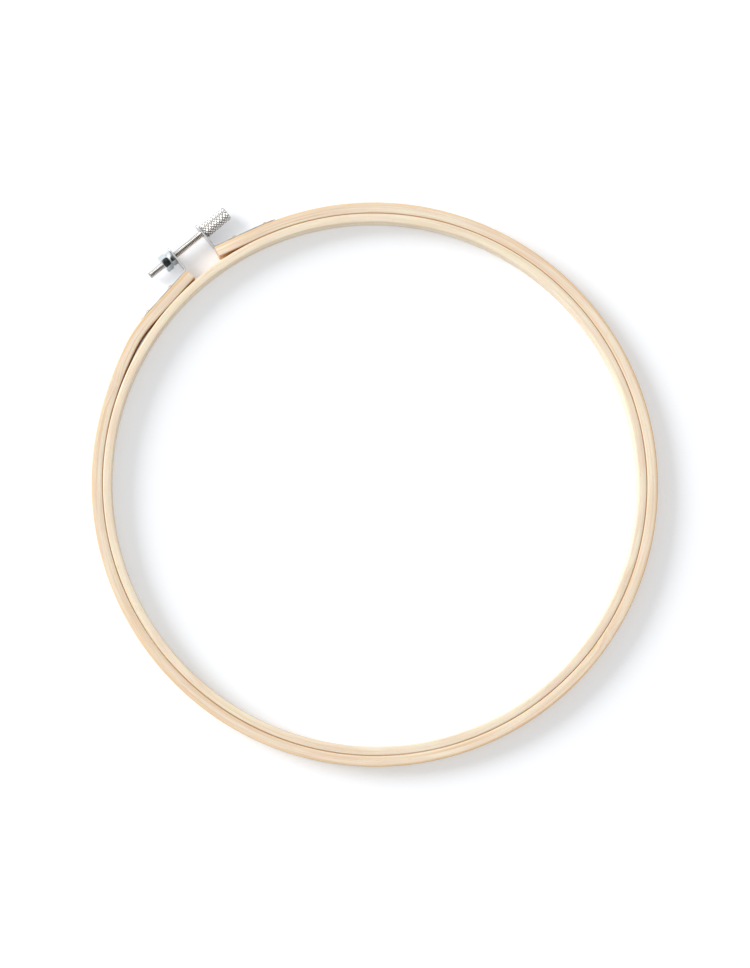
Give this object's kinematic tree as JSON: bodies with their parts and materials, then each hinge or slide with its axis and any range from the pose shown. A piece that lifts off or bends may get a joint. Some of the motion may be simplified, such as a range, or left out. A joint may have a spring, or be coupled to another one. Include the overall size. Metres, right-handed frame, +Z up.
{
  "type": "embroidery hoop",
  "caption": "Round bamboo embroidery hoop: a closed inner ring inside a split outer ring drawn shut by a knurled clamp screw through two steel brackets.",
  "frame": {"origin": "centre of the rings, on the plane that the hoop lies on", "axes": "+Z is up, out of the hoop's face; +Y points from the centre out to the clamp screw, square to it; +X runs along the clamp screw towards its knurled head"},
  "size_m": [0.2114, 0.2233, 0.008],
  "materials": {
    "inner_bamboo": "pale creamy bamboo, sanded smooth, fine lengthwise grain, unvarnished",
    "outer_bamboo": "warm bamboo with darker lengthwise streaks, sanded smooth, unvarnished",
    "bracket_steel": "zinc-plated strip steel, satin",
    "screw_nickel": "bright nickel plate, rolled thread, diamond knurl",
    "nut_zinc": "bright bluish zinc plate",
    "nail_brass": "dull brassy steel nail with a domed head"
  },
  "bodies": {
    "inner_hoop": {"inner_ring": "inner_bamboo"},
    "outer_hoop": {"outer_ring": "outer_bamboo", "head_bracket": "bracket_steel", "nut_bracket": "bracket_steel", "head_near_nail": "nail_brass", "head_far_nail": "nail_brass", "nut_near_nail": "nail_brass", "nut_far_nail": "nail_brass"},
    "screw": {"clamp_screw": "screw_nickel"},
    "nuts": {"clamp_nut": "nut_zinc", "lock_nut": "nut_zinc"}
  },
  "joints": [
    {"name": "outer_hoop_lift", "type": "slide", "parent": "inner_hoop", "child": "outer_hoop", "axis": [0, 0, 1], "range_m": [0, 0.02]},
    {"name": "screw_turn", "type": "hinge", "parent": "outer_hoop", "child": "screw", "pos_m": [0, 0.11405, 0.004], "axis": [1, 0, 0], "range_deg": [0, 2880]},
    {"name": "nut_travel", "type": "slide", "parent": "outer_hoop", "child": "nuts", "axis": [-1, 0, 0], "range_m": [0, 0.00508]}
  ],
  "couplings": [
    {"joint": "screw_turn", "follows": "nut_travel", "rad_per_m": 9894.8}
  ]
}
